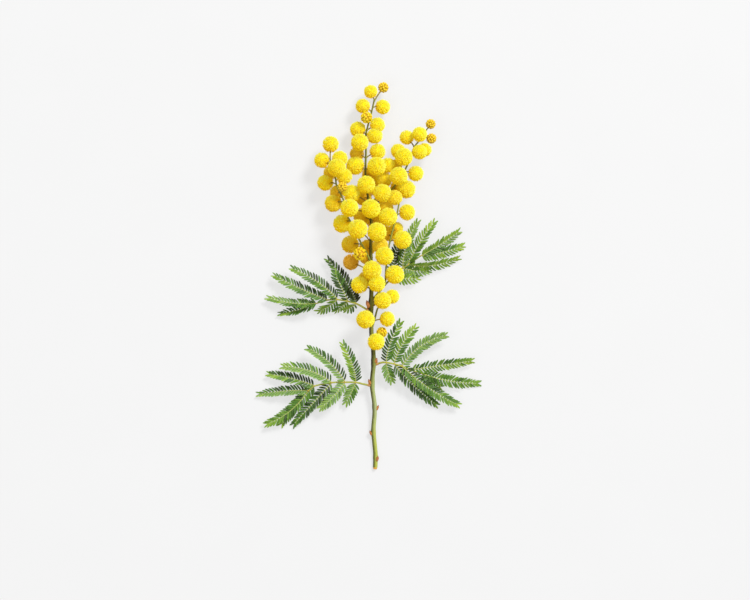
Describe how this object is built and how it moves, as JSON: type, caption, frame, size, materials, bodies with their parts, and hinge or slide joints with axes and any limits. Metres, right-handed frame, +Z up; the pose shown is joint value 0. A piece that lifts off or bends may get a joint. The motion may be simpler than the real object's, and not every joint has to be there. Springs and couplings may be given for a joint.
{
  "type": "mimosa sprig",
  "caption": "Cut flowering twig with fluffy round yellow flower heads along its branches and feathery green leaves lower down, lying on a surface.",
  "frame": {"origin": "on the surface that the sprig lies on, under the middle of its outer box", "axes": "+Y along the stem from the cut end to the tip, +Z up from the surface, +X to the right as seen from above"},
  "size_m": [0.113, 0.1939, 0.0242],
  "materials": {
    "stem": "smooth olive-green young bark, browner at the buds, thin yellow-green stalks",
    "leaf": "soft matte leaflets, dark green to yellow-green at the tips, with a pale yellow-green rib",
    "flower": "dense fluffy bright yellow stamens with tiny anthers, ochre in the depths",
    "bud": "closed golden-olive buds, slightly glossy"
  },
  "bodies": {
    "root": {"bud_01": "bud", "bud_22": "bud", "bud_49": "bud", "bud_50": "bud", "half_open_05": "flower", "half_open_30": "flower", "half_open_47": "flower", "head_02": "flower", "head_03": "flower", "head_04": "flower", "head_07": "flower", "head_09": "flower", "head_10": "flower", "head_14": "flower", "head_15": "flower", "head_16": "flower", "head_23": "flower", "head_26": "flower", "head_27": "flower", "head_28": "flower", "head_29": "flower", "head_31": "flower", "head_32": "flower", "head_35": "flower", "head_40": "flower", "head_45": "flower", "head_46": "flower", "head_48": "flower", "head_51": "flower", "head_52": "flower", "head_57": "flower", "head_59": "flower", "head_61": "flower", "head_64": "flower", "head_66": "flower", "heads_06_08": "flower", "heads_12_11": "flower", "heads_13_58_62": "flower", "heads_17_18_20": "flower", "heads_19_21": "flower", "heads_25_24": "flower", "heads_33_63": "flower", "heads_34_67": "flower", "heads_36_73": "flower", "heads_37_74_76": "flower", "heads_38_69": "flower", "heads_39_42": "flower", "heads_41_72": "flower", "heads_43_44": "flower", "heads_54_53": "flower", "heads_56_55": "flower", "heads_60_70": "flower", "heads_65_68": "flower", "heads_71_75": "flower", "leaf_lower_left": "leaf", "leaf_lower_right": "leaf", "leaf_upper_left": "leaf", "leaf_upper_right": "leaf", "stem": "stem"}
  },
  "joints": []
}
